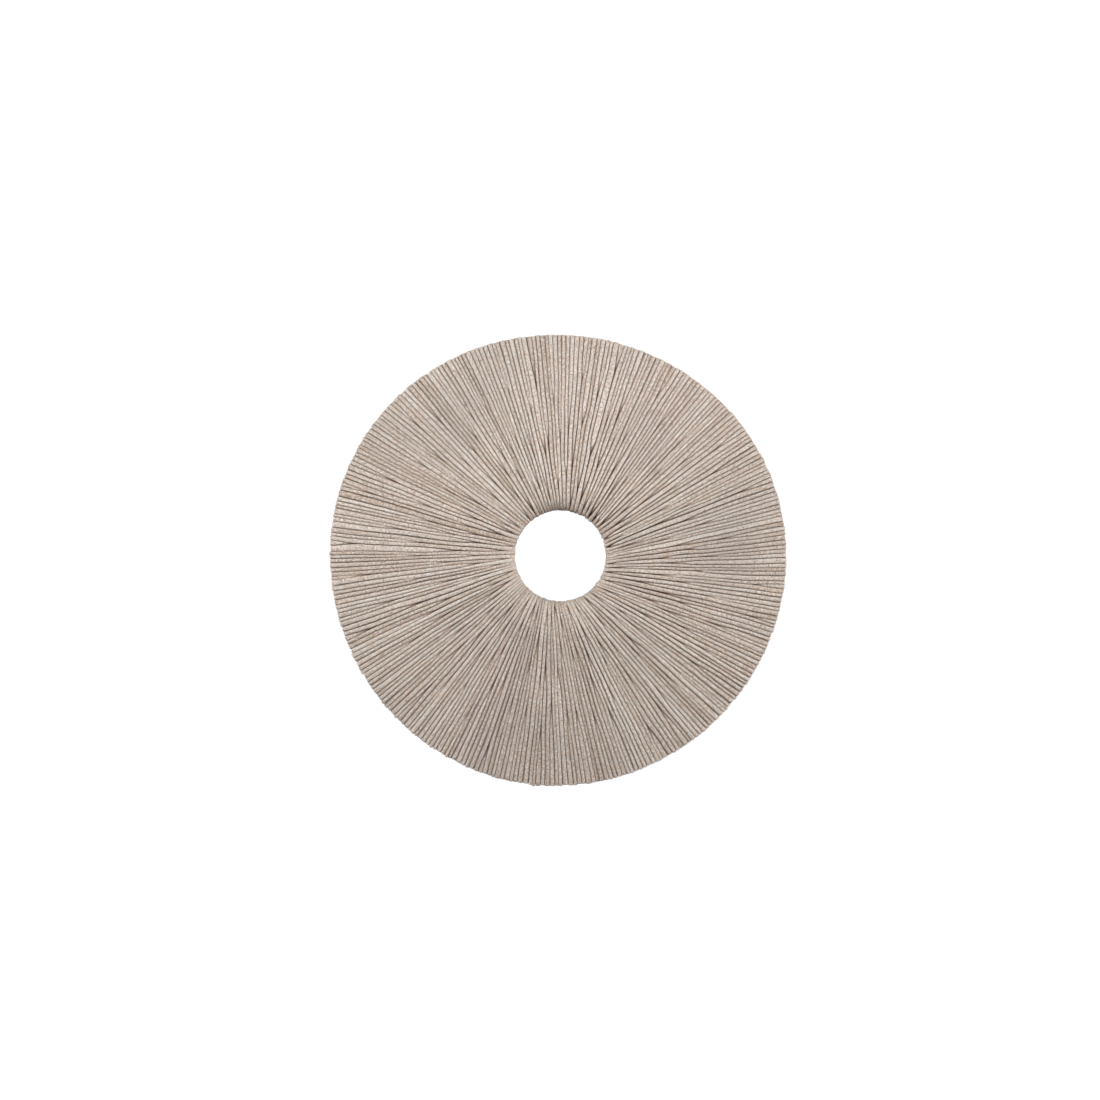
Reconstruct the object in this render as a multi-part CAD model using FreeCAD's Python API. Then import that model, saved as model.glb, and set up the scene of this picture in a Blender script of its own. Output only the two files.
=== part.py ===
import FreeCAD, Part
import math
import os

# A felt polishing wheel, in millimetres. It stands upright: its axis is +Y, and the origin is the middle
# of its bore. Soft felt cords are folded over a steel hub ring, run through the bore, and lie outwards
# over both faces of a pressed felt core as far as the rim, where cords and core are trimmed together.

# Wheel
rim_radius = 75.0            # the trimmed outer edge
rim_offset_x = -0.95         # the rim was trimmed slightly off the bore's centre
rim_offset_z = -1.1
bore_radius = 15.0
blank_radius = 78.0          # faces are laid this large, and then trimmed

# Hub ring, a turned steel ring whose inner edges are rounded so that they don't cut the cords
ring_inner_radius = 20.4
ring_outer_radius = 26.0
ring_half_width = 4.0
ring_corner_radius = 2.1
ring_chamfer = 0.5           # on the outer edges, which the core fits round

# Felt core, a pressed disc that fits round the ring and thins towards the rim
core_flat_radius = 50.0
core_edge_half_thickness = 3.0
core_bend_share = 0.25       # share of the thinning that is reached halfway to the rim

# Cords: a single layer at the rim, and a pile a few layers deep at the hub, where there is less room
cord_diameter = 1.5
cord_count = 312
cords_in_hank = 12
first_hank_deg = 10.0        # where the first hank starts at the rim, from +X towards +Z
lip_radius = 6.5             # outside of the pile where it turns into the bore
land_radius = 26.0           # the flange seat runs from the lip's crest out to here
slope_mid_radius = 36.0
slope_mid_height = 2.75      # height of the pile above the core at that radius
slope_end_radius = 50.0
slope_end_height = 1.95
edge_mid_radius = 64.0
edge_mid_height = 1.35

# The cords' lines pass the axis at a small distance, so the faces have a slight swirl
swirl = 2.05
swirl_change = 1.85
swirl_peak_deg = 320.0

# How far the tools that divide the faces into hanks reach past them
reach_into_bore = 3.0
reach_past_faces = 5.0

throat_half_length = ring_half_width - ring_corner_radius
lip_centre_radius = bore_radius + lip_radius
land_half_width = throat_half_length + lip_radius
edge_half_width = core_edge_half_thickness + cord_diameter
cut_half_height = land_half_width + reach_past_faces
hank_count = cord_count // cords_in_hank
hank_angle = 2.0 * math.pi / hank_count


def on_profile(radius, y):
    """A point of the half section, which is drawn in the plane Z = 0 and turned about the Y axis."""
    return FreeCAD.Vector(radius, y, 0.0)


def line(start, end):
    return Part.LineSegment(start, end).toShape()


def arc(start, middle, end):
    return Part.Arc(start, middle, end).toShape()


def turned(edges):
    """The closed half section, turned a full circle about the axis."""
    face = Part.Face(Part.Wire(edges))
    return face.revolve(FreeCAD.Vector(0, 0, 0), FreeCAD.Vector(0, 1, 0), 360)


def corner_middle(centre_radius, centre_y, radius, side):
    """The middle of a quarter arc that turns from the bore wall towards a face."""
    reach = radius * math.sqrt(0.5)
    return on_profile(centre_radius - reach, side * (centre_y + reach))


def core_surface(side):
    """One face of the core, from the ring outwards: flat at first, then a shallow arc to the blank's edge."""
    flat_start = on_profile(ring_outer_radius, side * ring_half_width)
    flat_end = on_profile(core_flat_radius, side * ring_half_width)
    bend_radius = (core_flat_radius + rim_radius) / 2
    drop = core_bend_share * (ring_half_width - core_edge_half_thickness)
    bend = on_profile(bend_radius, side * (ring_half_width - drop))
    edge = on_profile(blank_radius, side * core_edge_half_thickness)
    return [line(flat_start, flat_end), arc(flat_end, bend, edge)]


def ring_surface(side):
    """The inside of the ring as the cords meet it: half the bore wall, a rounded corner, and one face."""
    wall_end = on_profile(ring_inner_radius, side * throat_half_length)
    face_start = on_profile(ring_inner_radius + ring_corner_radius, side * ring_half_width)
    corner_centre = ring_inner_radius + ring_corner_radius
    middle = corner_middle(corner_centre, throat_half_length, ring_corner_radius, side)
    return [
        line(on_profile(ring_inner_radius, 0), wall_end),
        arc(wall_end, middle, face_start),
        line(face_start, on_profile(ring_outer_radius, side * ring_half_width)),
    ]


def cord_surface(side):
    """The outside of the cords: half the throat, the lip, the flange seat, and the slope down to the rim."""
    throat_end = on_profile(bore_radius, side * throat_half_length)
    crest = on_profile(lip_centre_radius, side * land_half_width)
    land_end = on_profile(land_radius, side * land_half_width)
    slope_mid = on_profile(slope_mid_radius, side * (ring_half_width + slope_mid_height))
    slope_end = on_profile(slope_end_radius, side * (ring_half_width + slope_end_height))
    edge_mid = on_profile(edge_mid_radius, side * (ring_half_width + edge_mid_height))
    edge = on_profile(blank_radius, side * edge_half_width)
    return [
        line(on_profile(bore_radius, 0), throat_end),
        arc(throat_end, corner_middle(lip_centre_radius, throat_half_length, lip_radius, side), crest),
        line(crest, land_end),
        arc(land_end, slope_mid, slope_end),
        arc(slope_end, edge_mid, edge),
    ]


def rim_point(angle):
    """Where the ray from the bore's centre at this angle meets the trimmed rim."""
    along = rim_offset_x * math.cos(angle) + rim_offset_z * math.sin(angle)
    offset_squared = rim_offset_x ** 2 + rim_offset_z ** 2
    reach = along + math.sqrt(along ** 2 - offset_squared + rim_radius ** 2)
    return FreeCAD.Vector(reach * math.cos(angle), -cut_half_height, reach * math.sin(angle))


def bore_point(angle):
    """The inner end, inside the bore, of the straight line that a cord follows from the rim at this angle."""
    start = rim_point(angle)
    passing = swirl + swirl_change * math.cos(angle - math.radians(swirl_peak_deg))
    inner_radius = bore_radius - reach_into_bore
    outer_turn = math.asin(passing / math.hypot(start.x, start.z))
    inner_turn = math.asin(passing / inner_radius)
    inner_angle = angle + outer_turn - inner_turn
    return FreeCAD.Vector(
        inner_radius * math.cos(inner_angle), -cut_half_height, inner_radius * math.sin(inner_angle)
    )


def hank_sector(index):
    """The space of one hank, seen along the axis: two straight sides and a piece of the rim."""
    first = math.radians(first_hank_deg)
    angles = [first + (index + share) * hank_angle for share in (0.0, 0.5, 1.0)]
    rim = [rim_point(angle) for angle in angles]
    inner = [bore_point(angles[0]), bore_point(angles[2])]
    outline = Part.Wire([
        line(inner[0], rim[0]),
        arc(rim[0], rim[1], rim[2]),
        line(rim[2], inner[1]),
        line(inner[1], inner[0]),
    ])
    return Part.Face(outline).extrude(FreeCAD.Vector(0, 2 * cut_half_height, 0))


def make_hub_ring():
    """The ring's full section, with a small chamfer on its outer edges, which the core fits round."""
    edges = ring_surface(-1)[:2] + ring_surface(1)[:2]
    for side in (-1, 1):
        face_start = on_profile(ring_inner_radius + ring_corner_radius, side * ring_half_width)
        face_end = on_profile(ring_outer_radius - ring_chamfer, side * ring_half_width)
        chamfer_end = on_profile(ring_outer_radius, side * (ring_half_width - ring_chamfer))
        edges += [line(face_start, face_end), line(face_end, chamfer_end)]
    outer_front = on_profile(ring_outer_radius, ring_chamfer - ring_half_width)
    outer_back = on_profile(ring_outer_radius, ring_half_width - ring_chamfer)
    edges.append(line(outer_front, outer_back))
    return turned(Part.__sortEdges__(edges))


def make_felt_core():
    """The core's section, trimmed to the rim."""
    edges = core_surface(-1) + core_surface(1)
    for radius, half_thickness in (
        (ring_outer_radius, ring_half_width),
        (blank_radius, core_edge_half_thickness),
    ):
        edges.append(line(on_profile(radius, -half_thickness), on_profile(radius, half_thickness)))
    trim = Part.makeCylinder(
        rim_radius,
        2 * cut_half_height,
        FreeCAD.Vector(rim_offset_x, -cut_half_height, rim_offset_z),
        FreeCAD.Vector(0, 1, 0),
    )
    return turned(Part.__sortEdges__(edges)).common(trim)


def make_cord_blank():
    """Both faces of cords and the throat between them, as one turned section, before it is divided."""
    edges = []
    for side in (-1, 1):
        edges += ring_surface(side) + core_surface(side) + cord_surface(side)
        edges.append(line(
            on_profile(blank_radius, side * core_edge_half_thickness),
            on_profile(blank_radius, side * edge_half_width),
        ))
    return turned(Part.__sortEdges__(edges))


os.makedirs("parts", exist_ok=True)
make_hub_ring().exportStep("parts/hub_ring.step")
make_felt_core().exportStep("parts/felt_core.step")
cord_blank = make_cord_blank()
for index in range(hank_count):
    hank = cord_blank.common(hank_sector(index))
    hank.exportStep(f"parts/cord_hank_{index + 1:02d}.step")
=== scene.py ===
import bpy
import numpy as np
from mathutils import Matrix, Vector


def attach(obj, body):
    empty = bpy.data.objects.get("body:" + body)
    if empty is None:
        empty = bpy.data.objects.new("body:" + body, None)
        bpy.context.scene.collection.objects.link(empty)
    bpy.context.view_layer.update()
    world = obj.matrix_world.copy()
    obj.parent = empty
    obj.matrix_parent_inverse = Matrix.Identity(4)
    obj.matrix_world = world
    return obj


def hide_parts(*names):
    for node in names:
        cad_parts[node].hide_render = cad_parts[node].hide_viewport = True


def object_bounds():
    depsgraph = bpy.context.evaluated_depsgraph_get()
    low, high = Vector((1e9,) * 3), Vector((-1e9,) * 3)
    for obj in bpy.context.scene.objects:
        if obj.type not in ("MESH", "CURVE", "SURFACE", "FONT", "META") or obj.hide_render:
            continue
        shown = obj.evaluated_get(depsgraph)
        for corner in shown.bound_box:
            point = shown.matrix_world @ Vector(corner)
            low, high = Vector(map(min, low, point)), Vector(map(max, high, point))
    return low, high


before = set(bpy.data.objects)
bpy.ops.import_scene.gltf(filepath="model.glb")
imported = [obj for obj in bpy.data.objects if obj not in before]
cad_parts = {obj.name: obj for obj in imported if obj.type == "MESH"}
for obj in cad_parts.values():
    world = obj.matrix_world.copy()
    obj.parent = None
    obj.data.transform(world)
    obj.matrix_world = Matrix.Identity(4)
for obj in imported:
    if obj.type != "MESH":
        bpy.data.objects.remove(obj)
cad_low, cad_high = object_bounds()

# Camera: level, straight at the front face, and far enough away that the bore is seen square on. The
# wheel sits a little right of the middle and a little below it.
view_width = 0.362
view_centre_x, view_centre_z = -0.00345, 0.00194
camera_data = bpy.data.cameras.new("camera")
camera_data.lens, camera_data.sensor_width = 100.0, 36.0
camera = bpy.data.objects.new("camera", camera_data)
bpy.context.scene.collection.objects.link(camera)
face_y = cad_low.y
camera_distance = view_width * camera_data.lens / camera_data.sensor_width
camera.location = (view_centre_x, face_y - camera_distance, view_centre_z)
camera.rotation_euler = (np.pi / 2, 0.0, 0.0)
bpy.context.scene.camera = camera


# Hub ring: a turned steel ring in the middle of the wheel, which the cords are folded over. Its inner
# edges are rounded so that they don't cut the cords. It keeps its CAD shape and is hidden by the cords.
def linear(hex_colour):
    """A colour of the form #RRGGBB as the four linear values that a shader takes."""
    srgb = np.array([int(hex_colour[i : i + 2], 16) / 255 for i in (1, 3, 5)])
    values = np.where(srgb <= 0.04045, srgb / 12.92, ((srgb + 0.055) / 1.055) ** 2.4)
    return (*values.tolist(), 1.0)


def add_node(tree, kind, settings, inputs):
    """Adds one node to a shader. Each input is a plain value, or another node's output, which is linked."""
    node = tree.nodes.new(kind)
    for name, value in settings.items():
        setattr(node, name, value)
    for name, value in inputs.items():
        if isinstance(value, bpy.types.NodeSocket):
            tree.links.new(value, node.inputs[name])
        else:
            node.inputs[name].default_value = value
    return node


def new_shader(name):
    """A material with an empty shader and its output, which takes the surface."""
    material = bpy.data.materials.new(name)
    material.use_nodes = True
    tree = material.node_tree
    tree.nodes.clear()
    return material, tree, tree.nodes.new("ShaderNodeOutputMaterial")


# Turned mild steel: fine lathe rings run round the axis, which spread the highlight across them.
steel_colour = "#BEBFC0"
steel_dull_colour = "#9C9C9B"
turned_steel, tree, output = new_shader("turned_steel")
place = add_node(tree, "ShaderNodeTexCoord", {}, {})
lathe_rings = add_node(
    tree,
    "ShaderNodeTexWave",
    {"wave_type": "RINGS", "rings_direction": "Y"},
    # rings 0.25 mm apart
    {"Vector": place.outputs["Object"], "Scale": 1250.0, "Distortion": 0.4, "Detail": 2.0},
)
oil_film = add_node(
    tree, "ShaderNodeTexNoise", {}, {"Vector": place.outputs["Object"], "Scale": 160.0, "Detail": 4.0}
)
steel_tone = add_node(
    tree,
    "ShaderNodeMix",
    {"data_type": "RGBA"},
    {0: oil_film.outputs["Fac"], 6: linear(steel_colour), 7: linear(steel_dull_colour)},
)
ring_relief = add_node(
    tree,
    "ShaderNodeBump",
    {},
    {"Height": lathe_rings.outputs["Fac"], "Strength": 0.3, "Distance": 0.00002},
)
steel_surface = add_node(
    tree,
    "ShaderNodeBsdfPrincipled",
    {},
    {
        "Base Color": steel_tone.outputs[2],
        "Metallic": 1.0,
        "Roughness": 0.32,
        "Normal": ring_relief.outputs["Normal"],
    },
)
tree.links.new(steel_surface.outputs[0], output.inputs["Surface"])
hub_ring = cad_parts["hub_ring"]
hub_ring.data.materials.clear()
hub_ring.data.materials.append(turned_steel)


# Felt core: a disc of hard pressed wool felt round the hub ring, between the two layers of cords. It is
# glued to them and trimmed with them, so only its cut edge shows, as a band between the cord ends.
ring_outer_radius, core_half_thickness = 26.0, 4.0
core_flat_radius, core_edge_half_thickness = 50.0, 3.0
blank_radius = 78.0
rim_radius, rim_x, rim_z = 75.0, -0.95, -1.1
# the cut edge stands back a little from the cord ends and bellies out between the two layers
core_setback, edge_belly, edge_gap = 0.15, 0.25, 0.02
# cords press the felt down by half a millimetre, less and less over the last 3 mm to the cut edge
press_depth, press_fade = 0.5, 3.0
core_fuzz_depth = 0.06
millimetres = 0.001


def rim_distance(angle):
    """How far the trimmed rim is from the bore's centre at each angle: a circle whose centre is slightly
    off, which the cut left a few tenths of a millimetre out of round, with two and three gentle lobes."""
    lobes = (
        0.467 * np.cos(2 * angle)
        - 0.069 * np.sin(2 * angle)
        + 0.194 * np.cos(3 * angle)
        + 0.362 * np.sin(3 * angle)
    )
    along = rim_x * np.cos(angle) + rim_z * np.sin(angle)
    return along + np.sqrt(along**2 - rim_x**2 - rim_z**2 + (rim_radius + lobes) ** 2)


def core_half_height(radius):
    """Half the core's thickness: level as far as the flat radius, then falling in a shallow curve, which
    is 0.45 of a straight line and 0.55 of a parabola."""
    share = np.clip((radius - core_flat_radius) / (blank_radius - core_flat_radius), 0, 1)
    drop = core_half_thickness - core_edge_half_thickness
    return core_half_thickness - drop * (0.45 * share + 0.55 * share**2)


def add_mesh(name, points, quads, ends):
    """A mesh piece from points in millimetres, four-sided faces, and many-sided end faces."""
    mesh = bpy.data.meshes.new(name)
    mesh.from_pydata(points * millimetres, [], quads.tolist() + ends.tolist())
    smooth = np.arange(len(mesh.polygons)) < len(quads)
    mesh.polygons.foreach_set("use_smooth", smooth)
    mesh.update()
    piece = bpy.data.objects.new(name, mesh)
    bpy.context.scene.collection.objects.link(piece)
    return piece


core_angles, core_seed = 720, 11
angle = np.linspace(0, 2 * np.pi, core_angles, endpoint=False)[:, None]
trimmed = rim_distance(angle) - core_setback
# the section runs out over the front face, across the cut edge, back over the other face, and
# through the hole
inner_radius = np.full((core_angles, 3), ring_outer_radius)
inner_height = np.linspace(1, -1, 5)[None, 1:-1]
face_share = np.linspace(0, 1, 15)[None, :]
face_radius = ring_outer_radius + (trimmed - edge_belly - ring_outer_radius) * face_share
edge_height = np.linspace(-1, 1, 13)[None, :]
edge_radius = trimmed - edge_belly * edge_height**6
radius = np.hstack([face_radius, edge_radius, face_radius[:, ::-1], inner_radius])
pressed = press_depth * np.clip((trimmed - face_radius) / press_fade, 0, 1)
face_height = core_half_height(face_radius) - pressed
edge_half = core_half_height(trimmed) - edge_gap
inner_side = face_height[:, :1] * inner_height
height = np.hstack([-face_height, edge_half * edge_height, face_height[:, ::-1], inner_side])
fuzz = np.random.default_rng(core_seed).standard_normal(radius.shape)
fuzz = (fuzz + np.roll(fuzz, 1, 0) + np.roll(fuzz, 1, 1)) / 3
radius = radius + core_fuzz_depth * fuzz
around = radius.shape[1]
points = np.stack([radius * np.cos(angle), height, radius * np.sin(angle)], axis=2).reshape(-1, 3)
i, j = np.meshgrid(np.arange(core_angles), np.arange(around), indexing="ij")
i_next, j_next = (i + 1) % core_angles, (j + 1) % around
quads = np.stack(
    [i * around + j, i * around + j_next, i_next * around + j_next, i_next * around + j], axis=2
).reshape(-1, 4)
felt_core = add_mesh("felt_core_disc", points, quads, np.zeros((0, 4), int))

# Pressed wool felt: matt, oatmeal grey, with matted fibres that show as a fine uneven mottling. The
# fibres are 0.02 mm thick, too fine to show, so their tangle is drawn 0.7 mm coarse, in clumps of 4 mm.
felt_light, felt_dark = "#CDC0B2", "#A39484"
pressed_felt, tree, output = new_shader("pressed_wool_felt")
place = add_node(tree, "ShaderNodeTexCoord", {}, {})
fibres = add_node(
    tree,
    "ShaderNodeTexNoise",
    {},
    {
        "Vector": place.outputs["Object"],
        "Scale": 1500.0,
        "Detail": 5.0,
        "Roughness": 0.65,
        "Distortion": 0.6,
    },
)
clumps = add_node(
    tree, "ShaderNodeTexNoise", {}, {"Vector": place.outputs["Object"], "Scale": 260.0, "Detail": 3.0}
)
tangle = add_node(
    tree,
    "ShaderNodeMath",
    {"operation": "MULTIPLY_ADD"},
    {0: clumps.outputs["Fac"], 1: 0.6, 2: fibres.outputs["Fac"]},
)
felt_spread = add_node(
    tree, "ShaderNodeMapRange", {}, {"Value": tangle.outputs[0], "From Min": 0.55, "From Max": 1.05}
)
felt_tone = add_node(
    tree,
    "ShaderNodeMix",
    {"data_type": "RGBA"},
    {0: felt_spread.outputs[0], 6: linear(felt_dark), 7: linear(felt_light)},
)
felt_relief = add_node(
    tree, "ShaderNodeBump", {}, {"Height": tangle.outputs[0], "Strength": 0.6, "Distance": 0.00025}
)
felt_surface = add_node(
    tree,
    "ShaderNodeBsdfPrincipled",
    {},
    {
        "Base Color": felt_tone.outputs[2],
        "Roughness": 0.95,
        "Specular IOR Level": 0.15,
        "Sheen Weight": 0.12,
        "Sheen Roughness": 0.6,
        "Normal": felt_relief.outputs["Normal"],
    },
)
tree.links.new(felt_surface.outputs[0], output.inputs["Surface"])
felt_core.data.materials.append(pressed_felt)
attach(felt_core, "root")
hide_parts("felt_core")


# Felt cords: 312 soft round cords, laid side by side at the rim of one face, led in through the bore and
# out again over the other face. There is room for all of them only at the rim. Towards the hub more and
# more of them sink between their neighbours, and the rest are squeezed narrow and tall. They are glued
# down, pressed level, and trimmed with the core. Twelve neighbours make one hank.
cord_count, cords_in_hank = 312, 12
first_hank = np.radians(10.0)
bore_radius, lip_radius, throat_half_length = 15.0, 6.5, 1.9
land_radius, land_half_width = 26.0, 8.4
lip_centre_radius = bore_radius + lip_radius
swirl, swirl_change, swirl_peak = 2.05, 1.85, np.radians(320.0)
knee_radius, knee_half_width = 50.0, 5.95
cord_diameter, cord_sides = 1.5, 12
cord_seed = 5


def through_three(radius, knots, heights):
    """The height, and the slope, of the one parabola through three points of the face."""
    (a, b, c), (p, q, r) = knots, heights
    first, second = (q - p) / (b - a), (r - q) / (c - b)
    bend = (second - first) / (c - a)
    return p + (radius - a) * (first + bend * (radius - b)), first + bend * (2 * radius - a - b)


def face_surface(radius):
    """The cords' outer surface over the face, from the flange seat down to the rim: height and slope. It
    is two parabolas that meet at the knee, the first through a point 36 mm from the axis, where the
    wheel is 13.5 mm thick, and the second through one 64 mm from it, where it is 10.7 mm thick."""
    inner = through_three(
        radius, (land_radius, 36.0, knee_radius), (land_half_width, 6.75, knee_half_width)
    )
    outer = through_three(radius, (knee_radius, 64.0, blank_radius), (knee_half_width, 5.35, 4.5))
    return [np.where(radius < knee_radius, near, far) for near, far in zip(inner, outer)]


def surface_line(rim):
    """The line that the cords' outer surface makes from the rim to the middle of the bore, for each cord:
    radius, height, and the two parts of the outward direction. It runs down the face, over the level
    flange seat, round the quarter circle of the lip, and along the bore wall. Its first two points lie
    close together, to round off the cut end."""
    share = np.concatenate([[0.0, 0.002], np.linspace(0.01, 1, 34)])
    face_radius = rim + (land_radius - rim) * share
    face_height, slope = face_surface(face_radius)
    steep = np.sqrt(1 + slope**2)
    land = np.linspace(land_radius, lip_centre_radius, 4)[1:]
    turn = np.radians(np.linspace(0, 90, 9)[1:])
    wall = np.array([throat_half_length / 2, 0.0])
    rest_radius = np.concatenate([land, lip_centre_radius - lip_radius * np.sin(turn), [bore_radius] * 2])
    lip_height = throat_half_length + lip_radius * np.cos(turn)
    rest_height = np.concatenate([[land_half_width] * 3, lip_height, wall])
    rest_out_r = np.concatenate([[0.0] * 3, -np.sin(turn), [-1.0] * 2])
    rest_out_h = np.concatenate([[1.0] * 3, np.cos(turn), [0.0] * 2])
    every_cord = np.ones((len(rim), 1))
    return (
        np.hstack([face_radius, every_cord * rest_radius]),
        np.hstack([face_height, every_cord * rest_height]),
        np.hstack([-slope / steep, every_cord * rest_out_r]),
        np.hstack([1 / steep, every_cord * rest_out_h]),
    )


def joined(front, back):
    """Front and back halves of the cords as one grid, from the front rim through the bore to the back."""
    return np.hstack([front, back[:, -2::-1]])


def smooth_noise(across, along):
    """Noise over all cords and stations with a spread of one. White noise is blurred by a bell curve that
    is 'across' cords wide one way and 'along' stations wide the other, and joins up round the wheel."""
    blur_across = np.exp(-2 * (np.pi * across * np.fft.fftfreq(cord_count)) ** 2)
    blur_along = np.exp(-2 * (np.pi * along * np.fft.fftfreq(stations)) ** 2)
    white = np.fft.fft2(random.standard_normal((cord_count, stations)))
    noise = np.fft.ifft2(white * blur_across[:, None] * blur_along).real
    return noise / noise.std()


def neighbourhood_mean(values, across):
    """The mean of each cord and its neighbours, weighted by a bell curve that is 'across' cords wide."""
    weights = np.exp(-2 * (np.pi * across * np.fft.fftfreq(cord_count)) ** 2)
    return np.fft.ifft(np.fft.fft(values, axis=0) * weights[:, None], axis=0).real


def ease(share):
    """A smooth step: 0 below 0, 1 above 1, and an S curve between."""
    share = np.clip(share, 0, 1)
    return share * share * (3 - 2 * share)


random = np.random.default_rng(cord_seed)
cord = np.arange(cord_count)
cord_angle = first_hank + (cord + 0.5) * 2 * np.pi / cord_count

# where each cord was cut: on the rim, give or take a tenth of a millimetre, and one or two neighbours
# stand half a millimetre proud
cut_error, proud_length = 0.1, 0.5
proud_angle, proud_spread = np.radians(263.0), np.radians(0.9)
proud = np.exp(-((np.abs(cord_angle - proud_angle) / proud_spread) ** 4))
cut = rim_distance(cord_angle) + proud_length * proud
front = surface_line((cut + cut_error * random.standard_normal(cord_count))[:, None])
back = surface_line((cut + cut_error * random.standard_normal(cord_count))[:, None])
radius, height, out_r, out_h = (joined(f, b) for f, b in zip(front, back))
half_stations, stations = front[0].shape[1], radius.shape[1]
side = np.where(np.arange(stations) < half_stations, -1.0, 1.0)
y, out_y = side * height, side * out_h
to_rim = np.hypot(np.diff(front[0].mean(0)), np.diff(front[1].mean(0)))
to_rim = np.concatenate([[0.0], np.cumsum(to_rim)])
to_rim = np.concatenate([to_rim, to_rim[-2::-1]])

# how many cords there is room for in the top layer at each distance from the axis: a cord is 1.5 mm
# wide at the rim and about 1.05 mm wide in the bore
typical_radius = radius.mean(0)
room_radii, room_counts = [15, 17, 26, 36, 46, 60, 72], [90, 97, 134, 174, 230, 288, 312]
room = np.interp(typical_radius, room_radii, room_counts)
top_share = np.minimum(room / cord_count, 1.0)
cord_width = 2 * np.pi * typical_radius / room

# cords sink in an order spread evenly round the wheel by steps of the golden section, shuffled a little.
# The half that sinks first does so in another order on the back. Each takes 9 to 21 mm to sink.
golden_step, shuffle, back_shuffle = 0.6180339887, 0.16, 0.25
order = (cord * golden_step) % 1.0 + shuffle * random.random(cord_count)
rank = (np.argsort(np.argsort(order)) + 0.5) / cord_count
back_rank = rank.copy()
outer = np.flatnonzero(rank > 0.5)
swapped = outer[np.argsort(rank[outer] + back_shuffle * random.standard_normal(len(outer)))]
back_rank[swapped] = np.sort(rank[outer])
sink_length = 15.0 * (0.6 + 0.8 * random.random(cord_count))
# a place far past the end of every cord, for the cords that never sink
never = 1000.0


def sinking(rank):
    """How far along its sinking each cord is, from 0 where it starts to 1 where it is covered. Its rank
    says where the middle of that is: where the room runs out for it, but early enough that it has
    sunk before the middle of the bore."""
    inwards = slice(half_stations - 1, None, -1)
    place = np.interp(rank, top_share[inwards], to_rim[inwards])
    place = np.minimum(place, to_rim[half_stations - 1] - 0.65 * sink_length)
    place = np.where(rank <= top_share[half_stations - 1], never, place)
    return (to_rim - place[:, None]) / sink_length[:, None] + 0.5


sunk = np.where(side < 0, sinking(rank), sinking(back_rank))
showing = 1 - ease(sunk)
# a cord is squeezed narrower first, and starts to drop a quarter of the sinking length later
lowered = ease(sunk - 0.25)

# cords differ in thickness by a sixth, each one varies along its length by a thirtieth, and one in
# fourteen is thin and stands proud
thin_thickness, thickest, thin_share = 0.6, 1.45, 0.07
thickness = np.clip(1 + 0.17 * random.standard_normal(cord_count), thin_thickness, thickest)
thin = random.random(cord_count) < thin_share
thickness = np.where(thin, thin_thickness, thickness)[:, None] * (1 + 0.03 * smooth_noise(0, 8))
# the space that a sinking cord leaves is taken up by its nearest neighbours, so the others run straight.
# A drift that a dozen neighbours or more share is taken out, so that each hank keeps its place. Groups
# of five or so also wander sideways together by a tenth of a millimetre.
nearest, drifting, wander_size = 1.8, 12, 0.08
share = thickness * showing
share = share / neighbourhood_mean(share, nearest)
share = share / share.sum(0) * 2 * np.pi
even = np.arange(cord_count + 1)[:, None] * 2 * np.pi / cord_count
drift = np.vstack([np.zeros((1, stations)), np.cumsum(share, 0)]) - even
slow = neighbourhood_mean(drift[:-1], drifting)
wander = wander_size * smooth_noise(5, 8)
sideways = drift[:-1] - slow + wander / radius
border = even + np.vstack([sideways, sideways[:1]])

# each border's line passes the axis at a small distance, which gives the face its slight swirl
passing = swirl + swirl_change * np.cos(first_hank + even - swirl_peak)
border_radius = (radius + np.roll(radius, 1, 0)) / 2
border_radius = np.vstack([border_radius, border_radius[:1]])
border = border + first_hank + np.arcsin(passing / rim_radius) - np.arcsin(passing / border_radius)
middle = (border[1:] + border[:-1]) / 2
half_showing = (border[1:] - border[:-1]) / 2 * radius

# a cord in the top layer is as tall as its squeezed width leaves it, and a covered one lies flattened
# in the space between the top layer and the core or ring, the first to sink lowest. The pile is the
# thickness of all the layers together. Each table has distances from the axis, then heights.
tall = np.interp(typical_radius, [15, 22, 36, 60, 76], [1.85, 1.85, 1.65, 1.5, 1.45])
pile = np.interp(typical_radius, [15, 21.5, 26, 36, 50, 64, 76], [5.4, 4.6, 4.4, 2.75, 1.95, 1.8, 1.55])
bedding, flattest, least_flat = 0.4, 0.35, 1.35
space = np.maximum(pile - tall + bedding, flattest)
flat = np.clip(space, flattest, least_flat)
depth_rank = np.clip((np.where(side < 0, rank[:, None], back_rank[:, None]) - top_share), 0, 1)
covered_depth = tall + flat / 2 + (space - flat) * depth_rank / np.maximum(1 - top_share, 0.02)
# the tops are level within a tenth of a millimetre, and closer in the bore, where they are pressed
# hardest, and a thin cord stands proud of them
thin_proud = 0.15
level = 0.10 * random.standard_normal((cord_count, 1)) + 0.06 * smooth_noise(0, 5)
level = level * np.interp(typical_radius, [15, 22, 30], [0.4, 0.7, 1.0])
level = level + np.where(thin, thin_proud, 0.0)[:, None]
centre = (1 - lowered) * (level - tall / 2) - lowered * covered_depth
half_tall = ((1 - lowered) * tall + lowered * flat) / 2
# in the bore, neighbours press into each other by a third of their width. Over the face the felting
# leaves them a twentieth narrower than their share, here more and there less, so some grooves are
# deeper than others. A covered cord stays about three quarters as wide as one on top.
pressing = np.interp(typical_radius, [15, 16.5, 20, 26, 60], [1.36, 1.14, 1.02, 0.955, 0.945])
uneven = 0.035 * random.standard_normal((cord_count, 1)) + 0.03 * smooth_noise(0, 7)
pressing = pressing + np.clip(uneven, -0.08, 0.06)
covered_width = 0.36
half_wide = np.maximum(half_showing * pressing, covered_width * cord_width)
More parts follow.
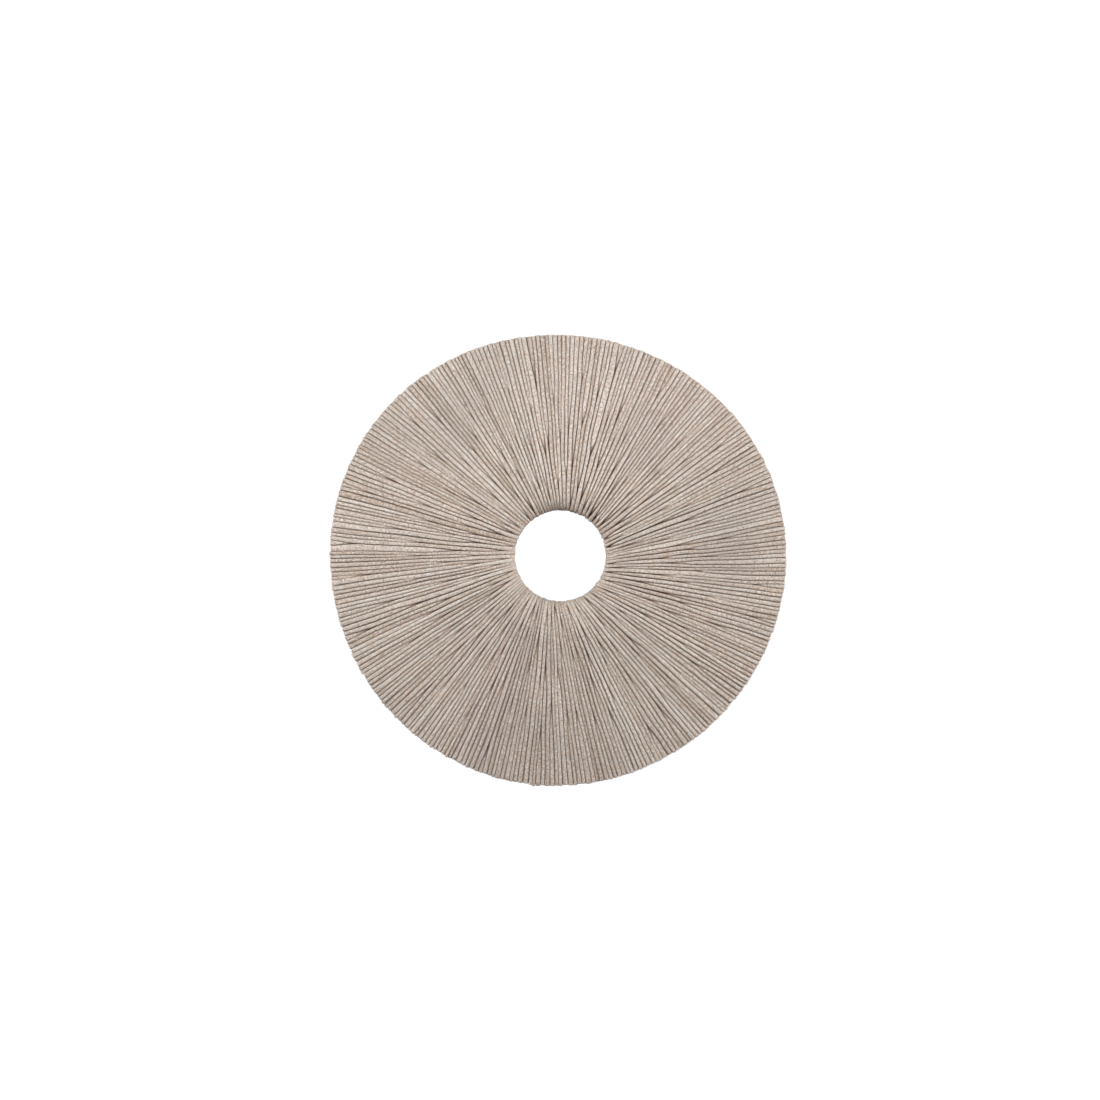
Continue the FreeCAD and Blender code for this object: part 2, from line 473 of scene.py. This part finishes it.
# the scissors leave the edge of each cut end a little rounded off, over the last two rings of points
trim_round = np.ones(stations)
trim_round[[0, -1]], trim_round[[1, -2]] = 0.80, 0.96
# each cord's top tilts a little to one side or the other
lean = 0.10 * smooth_noise(0, 6)

# the cord's section is a superellipse, near a square with rounded corners and a flat top at the rim, and
# rounder towards the bore. Most of its points are on the top half, which shows.
squareness = np.interp(typical_radius, [15, 30, 60], [2.4, 2.9, 3.4])[:, None]
turn = np.radians([-20.0, 15.0, 38.0, 58.0, 90.0, 122.0, 142.0, 165.0, 200.0, 240.0, 270.0, 300.0])
section_x = np.sign(np.cos(turn)) * np.abs(np.cos(turn)) ** (2 / squareness)
section_z = np.sign(np.sin(turn)) * np.abs(np.sin(turn)) ** (2 / squareness)
x = (half_wide * trim_round)[..., None] * section_x
z = centre[..., None] + (half_tall * trim_round)[..., None] * section_z + lean[..., None] * x
point_angle = middle[..., None] + x / radius[..., None]
point_radius = radius[..., None] + out_r[..., None] * z
points = np.stack(
    [
        point_radius * np.cos(point_angle),
        y[..., None] + out_y[..., None] * z,
        point_radius * np.sin(point_angle),
    ],
    axis=-1,
)

# how high each point sits in its cord, from -1 underneath to 1 on the crest, less where the cord sinks.
# The material paints shade from it into the grooves and onto sinking cords; the cut ends get none of that
# painted shade and stay as pale as the crest.
crest = section_z * np.ones((cord_count, 1, 1)) - lowered[..., None]
crest[:, [0, -1]] = 1.0
# how pale each cord's wool is, which changes slowly along it
tone = 0.7 * random.standard_normal((cord_count, 1)) + 0.5 * smooth_noise(0, 6)
tone = np.repeat(tone[..., None], cord_sides, axis=2)
# millimetres along the cord and round it, for the fibre pattern
walk = np.concatenate([[0.0], np.cumsum(np.hypot(np.diff(typical_radius), np.diff(y.mean(0))))])
girth = np.pi * cord_diameter / cord_sides * np.arange(cord_sides + 1)

# Twisted and felted wool cord: matt, oatmeal, brushed level, with matted fibres that run along the cord
# with a slight twist. Single fibres are too fine to show, so they are drawn as streaks 0.4 mm wide.
fibre_light, fibre_dark = "#E8E0D9", "#AA9482"
warm_tan, blotch_grey = "#D6B9A1", "#A9A39F"
# the first brown is painted shade for the grooves, the second the real colour of the chaff specks
painted_groove_shade, speck_brown = "#5E4230", "#6E5644"
felted_cord, tree, output = new_shader("felted_wool_cord")
along_cord = add_node(tree, "ShaderNodeUVMap", {"uv_map": "along_cord"}, {})
place = add_node(tree, "ShaderNodeTexCoord", {}, {})
crest_value = add_node(tree, "ShaderNodeAttribute", {"attribute_name": "crest"}, {})
tone_value = add_node(tree, "ShaderNodeAttribute", {"attribute_name": "tone"}, {})
# the streaks are 1.1 mm long and 0.4 mm wide, and turned 20 degrees by the twist
streak_place = add_node(
    tree,
    "ShaderNodeMapping",
    {},
    {"Vector": along_cord.outputs[0], "Rotation": (0.0, 0.0, 0.35), "Scale": (0.9, 2.4, 1.0)},
)
streaks = add_node(
    tree,
    "ShaderNodeTexNoise",
    {},
    {"Vector": streak_place.outputs[0], "Scale": 1.0, "Detail": 4.0, "Roughness": 0.7},
)
# the fuzz is drawn as grain 0.4 mm across, because single loose fibres are too fine to show
fuzz_grain = add_node(
    tree,
    "ShaderNodeTexNoise",
    {},
    {"Vector": place.outputs["Object"], "Scale": 2700.0, "Detail": 2.0, "Roughness": 0.7},
)
mottle = add_node(
    tree,
    "ShaderNodeMath",
    {"operation": "MULTIPLY_ADD"},
    {0: fuzz_grain.outputs["Fac"], 1: 2.0, 2: streaks.outputs["Fac"]},
)
toned = add_node(
    tree,
    "ShaderNodeMath",
    {"operation": "MULTIPLY_ADD"},
    {0: tone_value.outputs["Fac"], 1: 0.05, 2: mottle.outputs[0]},
)
mottle_spread = add_node(
    tree, "ShaderNodeMapRange", {}, {"Value": toned.outputs[0], "From Min": 1.28, "From Max": 1.66}
)
fibre_tone = add_node(
    tree,
    "ShaderNodeMix",
    {"data_type": "RGBA"},
    {0: mottle_spread.outputs[0], 6: linear(fibre_dark), 7: linear(fibre_light)},
)
# the wool is blended from greyer and tanner fleece, which shows as clouds about 1 mm across
blend = add_node(
    tree, "ShaderNodeTexNoise", {}, {"Vector": place.outputs["Object"], "Scale": 900.0, "Detail": 3.0}
)
blend_amount = add_node(
    tree,
    "ShaderNodeMapRange",
    {},
    {"Value": blend.outputs["Fac"], "From Min": 0.45, "From Max": 0.68, "To Max": 0.45},
)
blended = add_node(
    tree,
    "ShaderNodeMix",
    {"data_type": "RGBA"},
    {0: blend_amount.outputs[0], 6: fibre_tone.outputs[2], 7: linear(warm_tan)},
)
# handling has left soft greyer patches a few centimetres across
patches = add_node(
    tree, "ShaderNodeTexNoise", {}, {"Vector": place.outputs["Object"], "Scale": 28.0, "Detail": 2.0}
)
patch_amount = add_node(
    tree,
    "ShaderNodeMapRange",
    {},
    {"Value": patches.outputs["Fac"], "From Min": 0.5, "From Max": 0.75, "To Max": 0.35},
)
patched = add_node(
    tree,
    "ShaderNodeMix",
    {"data_type": "RGBA"},
    {0: patch_amount.outputs[0], 6: blended.outputs[2], 7: linear(blotch_grey)},
)
# painted shade: the sides of the cords are painted browner from near the crest downwards, and sinking cords
# more so, to darken the grooves as shade would
painted_shade_amount = add_node(
    tree,
    "ShaderNodeMapRange",
    {},
    {"Value": crest_value.outputs["Fac"], "From Min": 0.86, "From Max": 0.45, "To Max": 0.97},
)
groove_shaded = add_node(
    tree,
    "ShaderNodeMix",
    {"data_type": "RGBA"},
    {0: painted_shade_amount.outputs[0], 6: patched.outputs[2], 7: linear(painted_groove_shade)},
)
# stray dark fibres and bits of chaff: soft dots 0.2 to 0.6 mm across, one in about every fourth cell of
# a pattern with cells 2.5 mm apart
dots = add_node(
    tree,
    "ShaderNodeTexVoronoi",
    {},
    {"Vector": place.outputs["Object"], "Scale": 400.0, "Randomness": 1.0},
)
dot_edge = add_node(
    tree,
    "ShaderNodeMapRange",
    {},
    {"Value": dots.outputs["Distance"], "From Min": 0.13, "From Max": 0.04},
)
chosen = add_node(
    tree, "ShaderNodeMapRange", {}, {"Value": dots.outputs["Color"], "From Min": 0.62, "From Max": 0.7}
)
dot_amount = add_node(
    tree,
    "ShaderNodeMath",
    {"operation": "MULTIPLY"},
    {0: dot_edge.outputs[0], 1: chosen.outputs[0]},
)
specked = add_node(
    tree,
    "ShaderNodeMix",
    {"data_type": "RGBA"},
    {0: dot_amount.outputs[0], 6: groove_shaded.outputs[2], 7: linear(speck_brown)},
)
cord_relief = add_node(
    tree, "ShaderNodeBump", {}, {"Height": mottle.outputs[0], "Strength": 0.5, "Distance": 0.0002}
)
cord_surface = add_node(
    tree,
    "ShaderNodeBsdfPrincipled",
    {},
    {
        "Base Color": specked.outputs[2],
        "Roughness": 0.95,
        "Specular IOR Level": 0.06,
        "Sheen Weight": 0.04,
        "Sheen Roughness": 0.6,
        "Normal": cord_relief.outputs["Normal"],
    },
)
tree.links.new(cord_surface.outputs[0], output.inputs["Surface"])

# the faces of one hank: a tube for each cord, closed at both cut ends, and the place of every corner in
# the fibre pattern, where each cut end reads a disc of its own past the end of the tube
end_gap, end_disc_radius = 2.0, 0.7
c, s, k = np.meshgrid(
    np.arange(cords_in_hank), np.arange(stations - 1), np.arange(cord_sides), indexing="ij"
)
k_next = (k + 1) % cord_sides
corner = (c * stations + s) * cord_sides
quads = np.stack(
    [corner + k, corner + cord_sides + k, corner + cord_sides + k_next, corner + k_next], axis=-1
).reshape(-1, 4)
cord_start = np.arange(cords_in_hank)[:, None] * stations * cord_sides
first_end = cord_start + np.arange(cord_sides)
last_end = cord_start + (stations - 1) * cord_sides + np.arange(cord_sides)[::-1]
ends = np.vstack([first_end, last_end])
quad_u = np.stack([walk[s], walk[s + 1], walk[s + 1], walk[s]], axis=-1)
quad_v = np.stack([girth[k], girth[k], girth[k + 1], girth[k + 1]], axis=-1)
end_u = np.vstack([np.full(first_end.shape, -end_gap), np.full(last_end.shape, walk[-1] + end_gap)])
end_u = end_u + end_disc_radius * np.cos(turn)
end_v = np.zeros(end_u.shape) + end_disc_radius * np.sin(turn)
# every cord reads its own stretch of the fibre pattern
pattern_stretch = 400.0

for hank in range(cord_count // cords_in_hank):
    mine = slice(hank * cords_in_hank, (hank + 1) * cords_in_hank)
    piece = add_mesh(f"felt_cords_{hank + 1:02d}", points[mine].reshape(-1, 3), quads, ends)
    offset = pattern_stretch * cord[mine]
    tube_u = quad_u + offset[:, None, None, None]
    disc_u = end_u + np.tile(offset, 2)[:, None]
    u = np.concatenate([tube_u.ravel(), disc_u.ravel()])
    v = np.concatenate([quad_v.ravel(), end_v.ravel()])
    layer = piece.data.uv_layers.new(name="along_cord")
    layer.data.foreach_set("uv", np.stack([u, v], axis=-1).ravel().astype(np.float32))
    for name, values in (("crest", crest), ("tone", tone)):
        attribute = piece.data.attributes.new(name, "FLOAT", "POINT")
        attribute.data.foreach_set("value", values[mine].ravel().astype(np.float32))
    piece.data.materials.append(felted_cord)
    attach(piece, "root")
    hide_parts(f"cord_hank_{hank + 1:02d}")


# Studio: a plain white floor well below the wheel and a white surround, so that the wheel stands alone.
# Strips of light graze the face from the left and the right and bring out the grooves, and small soft
# lights and a spot in front fill them. All are a little above the axis, so the lower rim is darker.
floor_height, floor_size = -0.32, 60.0
floor_mesh = bpy.data.meshes.new("floor")
corners = floor_size / 2 * np.array([(-1, -1), (1, -1), (1, 1), (-1, 1)])
floor_points = np.column_stack([corners, np.full(4, floor_height)])
floor_mesh.from_pydata(floor_points, [], [(0, 1, 2, 3)])
floor = bpy.data.objects.new("floor", floor_mesh)
bpy.context.scene.collection.objects.link(floor)
# White painted floor, which also glows evenly, so that it stays white and shows no shadow
white_floor, tree, output = new_shader("white_painted_floor")
floor_surface = add_node(
    tree,
    "ShaderNodeBsdfPrincipled",
    {},
    {
        "Base Color": linear("#F4F4F4"),
        "Roughness": 0.9,
        "Emission Color": linear("#FFFFFF"),
        "Emission Strength": 1.0,
    },
)
tree.links.new(floor_surface.outputs[0], output.inputs["Surface"])
floor_mesh.materials.append(white_floor)
floor.visible_diffuse = False
floor.visible_glossy = False

# name, place in metres, width, height, and power in watts
lights = [
    ("strip_left", (-0.60, -0.15, 0.08), 0.3, 0.6, 1.9),
    ("strip_right", (0.60, -0.15, 0.08), 0.3, 0.6, 2.6),
    ("soft_left", (-0.50, -0.50, 0.10), 0.3, 0.3, 0.65),
    ("soft_right", (0.50, -0.50, 0.10), 0.3, 0.3, 0.8),
    ("near_left", (-0.28, -0.12, 0.05), 0.12, 0.12, 0.25),
    ("near_right", (0.28, -0.12, 0.05), 0.12, 0.12, 0.15),
    ("soft_front", (0.0, -0.90, 0.10), 0.3, 0.3, 0.6),
    ("soft_behind", (0.10, 0.88, 0.08), 0.6, 0.6, 9.0),
]


def add_light(data, place, aim):
    """Puts a light in the studio, turned towards the point it is aimed at. The camera doesn't see it."""
    light = bpy.data.objects.new(data.name, data)
    bpy.context.scene.collection.objects.link(light)
    away = np.array(place) - np.array(aim)
    away = away / np.linalg.norm(away)
    light.location = place
    light.rotation_euler = (np.arccos(away[2]), 0.0, np.arctan2(away[1], away[0]) + np.pi / 2)
    light.visible_camera = False


for name, place, width, height, power in lights:
    data = bpy.data.lights.new(name, "AREA")
    data.shape, data.size, data.size_y, data.energy = "RECTANGLE", width, height, power
    add_light(data, place, (0.0, 0.0, 0.0))
# a soft-edged spot from above the camera, aimed high, so that its light fades towards the lower rim
spot = bpy.data.lights.new("spot_front", "SPOT")
spot.energy, spot.shadow_soft_size = 10.0, 0.1
spot.spot_size, spot.spot_blend = np.radians(24.0), 1.0
add_light(spot, (0.0, -0.70, 0.25), (0.0, 0.0, 0.04))

# the camera sees a white surround, which lights the wheel only faintly, a little more from above
world = bpy.data.worlds.new("white_surround")
world.use_nodes = True
bpy.context.scene.world = world
tree = world.node_tree
tree.nodes.clear()
seen = add_node(tree, "ShaderNodeLightPath", {}, {})
backdrop = add_node(tree, "ShaderNodeBackground", {}, {"Color": linear("#FFFFFF"), "Strength": 1.1})
sky_place = add_node(tree, "ShaderNodeTexCoord", {}, {})
sky_height = add_node(tree, "ShaderNodeSeparateXYZ", {}, {0: sky_place.outputs["Generated"]})
sky_level = add_node(
    tree,
    "ShaderNodeMapRange",
    {},
    {"Value": sky_height.outputs["Z"], "From Min": -0.7, "From Max": 0.7, "To Min": 0.03, "To Max": 0.07},
)
fill = add_node(
    tree, "ShaderNodeBackground", {}, {"Color": linear("#FFFFFF"), "Strength": sky_level.outputs[0]}
)
surround = add_node(
    tree,
    "ShaderNodeMixShader",
    {},
    {0: seen.outputs["Is Camera Ray"], 1: fill.outputs[0], 2: backdrop.outputs[0]},
)
world_output = tree.nodes.new("ShaderNodeOutputWorld")
tree.links.new(surround.outputs[0], world_output.inputs["Surface"])
bpy.context.scene.view_settings.view_transform = "Standard"
